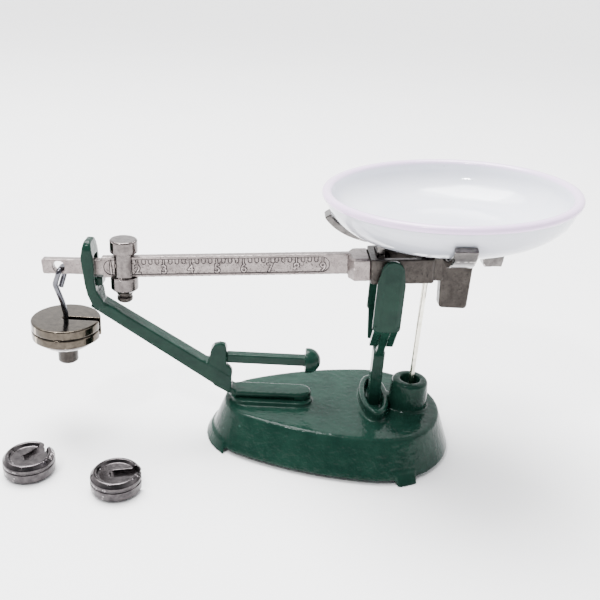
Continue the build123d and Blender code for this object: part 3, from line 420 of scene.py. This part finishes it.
# Turned metal: light tone, dark tone, and roughness and painted edge highlight if not the usual.
TURNED = {
    "polished_nickel": ((0.14, 0.13, 0.125), (0.065, 0.06, 0.058), (0.10, 0.2), 4.0),
    "bright_nickel": ((0.155, 0.137, 0.132), (0.075, 0.066, 0.064), (0.09, 0.18), 4.0),
    "screw_steel": ((0.30, 0.29, 0.28), (0.19, 0.18, 0.18)),
    "bright_wire": ((0.85, 0.82, 0.72), (0.60, 0.57, 0.48), (0.14, 0.26), 1.1),
    "dark_wire": ((0.12, 0.12, 0.135), (0.07, 0.07, 0.08)),
    "weight_nickel": ((0.078, 0.066, 0.052), (0.045, 0.038, 0.031), (0.09, 0.18), 4.5),
    "gunmetal": ((0.092, 0.083, 0.085), (0.04, 0.036, 0.038), (0.13, 0.22), 5.0),
}
MATERIALS = {
    "green_paint": green_paint(),
    "white_enamel": white_enamel(),
    "engraving": engraving(),
    **{name: cast_metal(name, *look) for name, look in CAST.items()},
    **{name: turned_metal(name, *look) for name, look in TURNED.items()},
}


# ---- meshes ----

def add_piece(name, mesh, node, material=None, stands_for=True):
    """Puts a mesh in the scene on its CAD node's body, in that node's finish."""
    mesh.materials.clear()
    mesh.materials.append(MATERIALS[material or SLOT_OF[node]])
    mesh.shade_smooth()
    piece = bpy.data.objects.new(name, mesh)
    SCENE.collection.objects.link(piece)
    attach(piece, BODY_OF[node])
    if stands_for:
        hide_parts(node)


def evaluated(source):
    """The mesh a temporary object gives with its modifiers applied; the object goes."""
    SCENE.collection.objects.link(source)
    graph = bpy.context.evaluated_depsgraph_get()
    mesh = bpy.data.meshes.new_from_object(source.evaluated_get(graph))
    bpy.data.objects.remove(source)
    return mesh


def softened(node, voxel, passes):
    """The CAD node's shape with its edges rounded, as casting or plating rounds them."""
    mesh = NODES[node].data.copy()
    # Remeshed at millimetre scale, which the voxel sizes are in, and scaled back.
    mesh.transform(Matrix.Scale(1 / MM, 4))
    source = bpy.data.objects.new("softened", mesh)
    remesh = source.modifiers.new("remesh", "REMESH")
    remesh.mode = "VOXEL"
    remesh.voxel_size = voxel
    smooth = source.modifiers.new("smooth", "SMOOTH")
    smooth.factor = 0.5
    smooth.iterations = passes
    result = evaluated(source)
    result.transform(Matrix.Scale(MM, 4))
    return result


def lathe(profile, place, steps):
    """A mesh turned about Z from radius and height pairs in millimetres."""
    shape = bmesh.new()
    rings = []
    for radius, height in profile:
        if radius == 0:
            rings.append([shape.verts.new((0, 0, height * MM))])
            continue
        rings.append([shape.verts.new((radius * MM * cos(2 * pi * k / steps),
                                       radius * MM * sin(2 * pi * k / steps), height * MM))
                      for k in range(steps)])
    for one, two in zip(rings, rings[1:]):
        for k in range(steps):
            after = (k + 1) % steps
            corners = [one[k % len(one)], one[after % len(one)],
                       two[after % len(two)], two[k % len(two)]]
            # At the axis a ring is one point, so the quad has a corner twice.
            shape.faces.new(list(dict.fromkeys(corners)))
    bmesh.ops.recalc_face_normals(shape, faces=shape.faces)
    mesh = bpy.data.meshes.new("lathe")
    shape.to_mesh(mesh)
    shape.free()
    mesh.transform(place)
    return mesh


def joined(meshes):
    """One mesh from several."""
    shape = bmesh.new()
    for mesh in meshes:
        shape.from_mesh(mesh)
    result = bpy.data.meshes.new("joined")
    shape.to_mesh(result)
    shape.free()
    return result


# ---- beam markings ----

def face_matrix(u, w, v=BEAM_FACE_V):
    """Places a flat drawing on a face of the beam, its X along U and its Y along W."""
    return BEAM @ Matrix.Translation(Vector((u, v, w)) * MM) @ Matrix.Rotation(pi / 2, 4, "X")


def drawn_line(points, radius, place, closed=False):
    """A thin round line through points, in millimetres on the drawing."""
    curve = bpy.data.curves.new("line", "CURVE")
    curve.dimensions = "3D"
    curve.bevel_depth = radius * MM
    curve.bevel_resolution = 2
    spline = curve.splines.new("POLY")
    spline.points.add(len(points) - 1)
    spline.use_cyclic_u = closed
    for point, (x, y) in zip(spline.points, points):
        point.co = (x * MM, y * MM, 0, 1)
    mesh = evaluated(bpy.data.objects.new("line", curve))
    mesh.transform(place)
    return mesh


def numeral(text, grow, height, place):
    """A numeral that stands height millimetres off the face, with its outline grown."""
    curve = bpy.data.curves.new("numeral", "FONT")
    curve.body = text
    curve.size = NUMERAL_SIZE * MM
    curve.align_x = "CENTER"
    curve.offset = grow * MM
    curve.extrude = height * MM
    curve.bevel_depth = NUMERAL_BEVEL * MM
    curve.bevel_resolution = 1
    curve.resolution_u = 6
    mesh = evaluated(bpy.data.objects.new("numeral", curve))
    mesh.transform(place)
    return mesh


def arc_points(x, y, radius, start, end):
    """Points round part of a circle, in degrees."""
    turns = [radians(start + (end - start) * k / ARC_STEPS) for k in range(ARC_STEPS + 1)]
    return [(x + radius * cos(turn), y + radius * sin(turn)) for turn in turns]


def panel_outline(inset):
    """The border of the recessed panel, as a closed line."""
    radius = PANEL_HEIGHT / 2 - inset
    left = PANEL_START_U + PANEL_HEIGHT / 2
    right = PANEL_END_U - PANEL_HEIGHT / 2
    return arc_points(right, 0, radius, -90, 90) + arc_points(left, 0, radius, 90, 270)


def scallop(u, width, drop):
    """A U that hangs from the panel's top edge."""
    half = width / 2
    low = TICK_TOP_W - drop + half
    bottom = arc_points(u, low, half, 180, 360)
    return [(u - half, TICK_TOP_W)] + bottom + [(u + half, TICK_TOP_W)]


def beam_markings():
    """Border on both faces; scallops, ticks and raised numerals on the near one."""
    front = face_matrix(0, 0)
    faces = (front, face_matrix(0, 0, -BEAM_FACE_V))
    groove, rim = panel_outline(GROOVE_INSET), panel_outline(RIM_INSET)
    # The dark lines are painted shade in place of the recesses; the light ones are relief in the
    # beam's own finish.
    dark = [drawn_line(groove, GROOVE_RADIUS, face, True) for face in faces]
    light = [drawn_line(rim, RIM_RADIUS, face, True) for face in faces]
    for count in range(LAST_NUMERAL, 0, -1):
        u = LAST_NUMERAL_U - (LAST_NUMERAL - count) * NUMERAL_PITCH
        place = face_matrix(u, NUMERAL_W)
        tick = [(u, TICK_TOP_W), (u, TICK_TOP_W - TICK_LENGTH)]
        surround = scallop(u, LONG_SCALLOP_WIDTH, LONG_SCALLOP_DROP)
        dark.append(drawn_line(surround, LONG_SCALLOP_RADIUS, front))
        light.append(drawn_line(tick, TICK_RADIUS, front))
        dark.append(numeral(str(count), NUMERAL_SHADOW_GROW, NUMERAL_SHADOW_HEIGHT, place))
        light.append(numeral(str(count), NUMERAL_GROW, NUMERAL_HEIGHT, place))
        if count == 1:
            continue
        for k in range(1, SCALLOPS + 1):
            middle = u - k * NUMERAL_PITCH / (SCALLOPS + 1)
            dark.append(drawn_line(scallop(middle, SCALLOP_WIDTH, SCALLOP_DROP),
                                   SCALLOP_RADIUS, front))
    add_piece("beam_painted_recess_shade", joined(dark), "beam_bar", "engraving", stands_for=False)
    add_piece("beam_relief", joined(light), "beam_bar", stands_for=False)


# ---- dish ----

def dish_wall():
    """The outer and inner lines of the curved wall, from the floor up to the rim."""
    run = DISH_WALL_R - DISH_FLAT_R
    fall = DISH_DEPTH + DISH_WALL_TOP
    outer = []
    inner = []
    for k in range(DISH_WALL_STEPS + 1):
        turn = (pi / 2) * (1 - k / DISH_WALL_STEPS)
        radius = DISH_FLAT_R + run * cos(turn)
        height = DISH_WALL_TOP - fall * sin(turn)
        slope = Vector((fall * cos(turn), run * sin(turn))).normalized()
        outer.append((radius, height))
        inner.append((radius - DISH_THICK * slope.x, height + DISH_THICK * slope.y))
    return outer, inner


def dish_profile():
    """Closed section of the dish: floor, curved wall, and a lip rolled over outwards."""
    outer, inner = dish_wall()
    floor_top = inner[0][1]
    underside = [(0, -DISH_DEPTH), (DISH_FLOOR_R, -DISH_DEPTH)]
    wall_out = [point for point in outer if point[1] < DISH_LIP_OUTER_JOIN]
    wall_in = [point for point in reversed(inner) if point[1] < DISH_LIP_INNER_JOIN]
    floor_in = [(radius, floor_top - sag)
                for radius, sag in zip((DISH_FLOOR_R, 0), DISH_FLOOR_SAGS)]
    return underside + wall_out + DISH_LIP + wall_in + floor_in


def make_dish():
    """The dish at rest on its carrier."""
    place = BEAM @ Matrix.Translation(Vector((DISH_U, 0, DISH_RIM_W)) * MM)
    add_piece("enamel_dish", lathe(dish_profile(), place, DISH_TURN_STEPS), "dish")


# ---- every other piece, from its CAD shape ----

# node: voxel size in millimetres, smoothing passes
SOFT = {
    "base_casting": (0.16, 7),
    "fulcrum_fork": (0.10, 5),
    "guard_arm": (0.11, 6),
    "weight_rail": (0.10, 3),
    "base_screws": (0.08, 3),
    "beam_bar": (0.08, 3),
    "pan_frame": (0.09, 4),
    "counterbalance": (0.10, 4),
    "fulcrum_pin": (0.06, 3),
    "load_pin": (0.06, 3),
    "pan_carrier": (0.11, 5),
    "guide_rod": (0.07, 2),
    "poise": (0.06, 4),
    "poise_screw": (0.05, 3),
    "hook_wire": (0.06, 4),
    "hung_weight_upper": (0.08, 4),
    "hung_weight_lower": (0.08, 4),
    "hanger_saucer": (0.07, 4),
    "hanger_nut": (0.06, 4),
    "loose_weight_left": (0.07, 4),
    "loose_weight_right": (0.07, 4),
}


def make_pieces():
    """Every visible piece of the scale."""
    for node, (voxel, passes) in SOFT.items():
        add_piece(node + "_finished", softened(node, voxel, passes), node)
    make_dish()
    beam_markings()


# ---- stage ----

def camera():
    """The viewing position, worked out from the fulcrum."""
    yaw, pitch, roll = radians(CAMERA_YAW), radians(CAMERA_PITCH), radians(CAMERA_ROLL)
    forward = Vector((-sin(yaw) * cos(pitch), cos(yaw) * cos(pitch), -sin(pitch)))
    right = Vector((cos(yaw), sin(yaw), 0))
    up = right.cross(forward)
    turned_right = right * cos(roll) + up * sin(roll)
    turned_up = up * cos(roll) - right * sin(roll)
    data = bpy.data.cameras.new("camera")
    data.lens = CAMERA_LENS
    data.sensor_width = CAMERA_SENSOR
    data.clip_start, data.clip_end = CAMERA_CLIP
    eye = bpy.data.objects.new("camera", data)
    place = Matrix((turned_right, turned_up, -forward)).transposed().to_4x4()
    place.translation = FULCRUM + Vector(CAMERA_FROM_FULCRUM) * MM
    eye.matrix_world = place
    SCENE.collection.objects.link(eye)
    SCENE.camera = eye


def shine(name, data, where, towards):
    """Puts a lamp in the scene, pointing along a direction."""
    lamp = bpy.data.objects.new(name, data)
    lamp.location = where
    lamp.rotation_euler = towards.to_track_quat("-Z", "Y").to_euler()
    SCENE.collection.objects.link(lamp)


def soft_light(name, where, size, power):
    """A square softbox that points at the object."""
    data = bpy.data.lights.new(name, "AREA")
    data.size = size
    data.energy = power
    shine(name, data, where, LIGHT_TARGET - Vector(where))


def overcast():
    """Soft light from high behind the left, even over the whole floor."""
    data = bpy.data.lights.new("overcast", "SUN")
    data.energy = OVERCAST_STRENGTH
    data.angle = radians(OVERCAST_SPREAD)
    shine("overcast", data, (0, 0, 0), -Vector(OVERCAST_FROM))


def floor():
    """A wide, flat, pale floor, a hair below the object so that the two never coincide."""
    shape = bmesh.new()
    bmesh.ops.create_grid(shape, x_segments=1, y_segments=1, size=FLOOR_HALF_WIDTH)
    mesh = bpy.data.meshes.new("floor")
    shape.to_mesh(mesh)
    shape.free()
    mesh.transform(Matrix.Translation((0, 0, -FLOOR_DROP)))
    n = Nodes("floor")
    tone = n.mix(n.band(n.noise(FLOOR_BLOTCH), *GENTLE), FLOOR_TONE, FLOOR_PALER)
    rough = n.band(n.noise(FLOOR_SHEEN_SIZE), *GENTLE, *FLOOR_ROUGHNESS)
    mesh.materials.append(n.finish(tone, rough, specular=FLOOR_SPECULAR))
    ground = bpy.data.objects.new("floor", mesh)
    SCENE.collection.objects.link(ground)


def world():
    """Studio surround, bright at the back (+Y) and overhead, dark at the front (-Y)."""
    SCENE.world = bpy.data.worlds.new("studio")
    SCENE.world.use_nodes = True
    tree = SCENE.world.node_tree
    coords = tree.nodes.new("ShaderNodeTexCoord")
    split = tree.nodes.new("ShaderNodeSeparateXYZ")
    # Turns the direction's Y, from -1 to 1, into the ramp's 0 to 1.
    depth = tree.nodes.new("ShaderNodeMath")
    depth.operation = "MULTIPLY_ADD"
    depth.inputs[1].default_value = 0.5
    depth.inputs[2].default_value = 0.5
    ramp = tree.nodes.new("ShaderNodeValToRGB")
    dark, bright = ramp.color_ramp.elements
    dark.color, dark.position = WORLD_DARK, WORLD_DARK_AT
    bright.color, bright.position = WORLD_BRIGHT, WORLD_BRIGHT_AT
    tree.links.new(coords.outputs["Generated"], split.inputs["Vector"])
    tree.links.new(split.outputs["Y"], depth.inputs[0])
    tree.links.new(depth.outputs["Value"], ramp.inputs["Fac"])
    tree.links.new(ramp.outputs["Color"], tree.nodes["Background"].inputs["Color"])
    tree.nodes["Background"].inputs["Strength"].default_value = WORLD_STRENGTH


make_pieces()
camera()
floor()
world()
overcast()
soft_light("key", *KEY)
soft_light("sparkle", *SPARKLE)
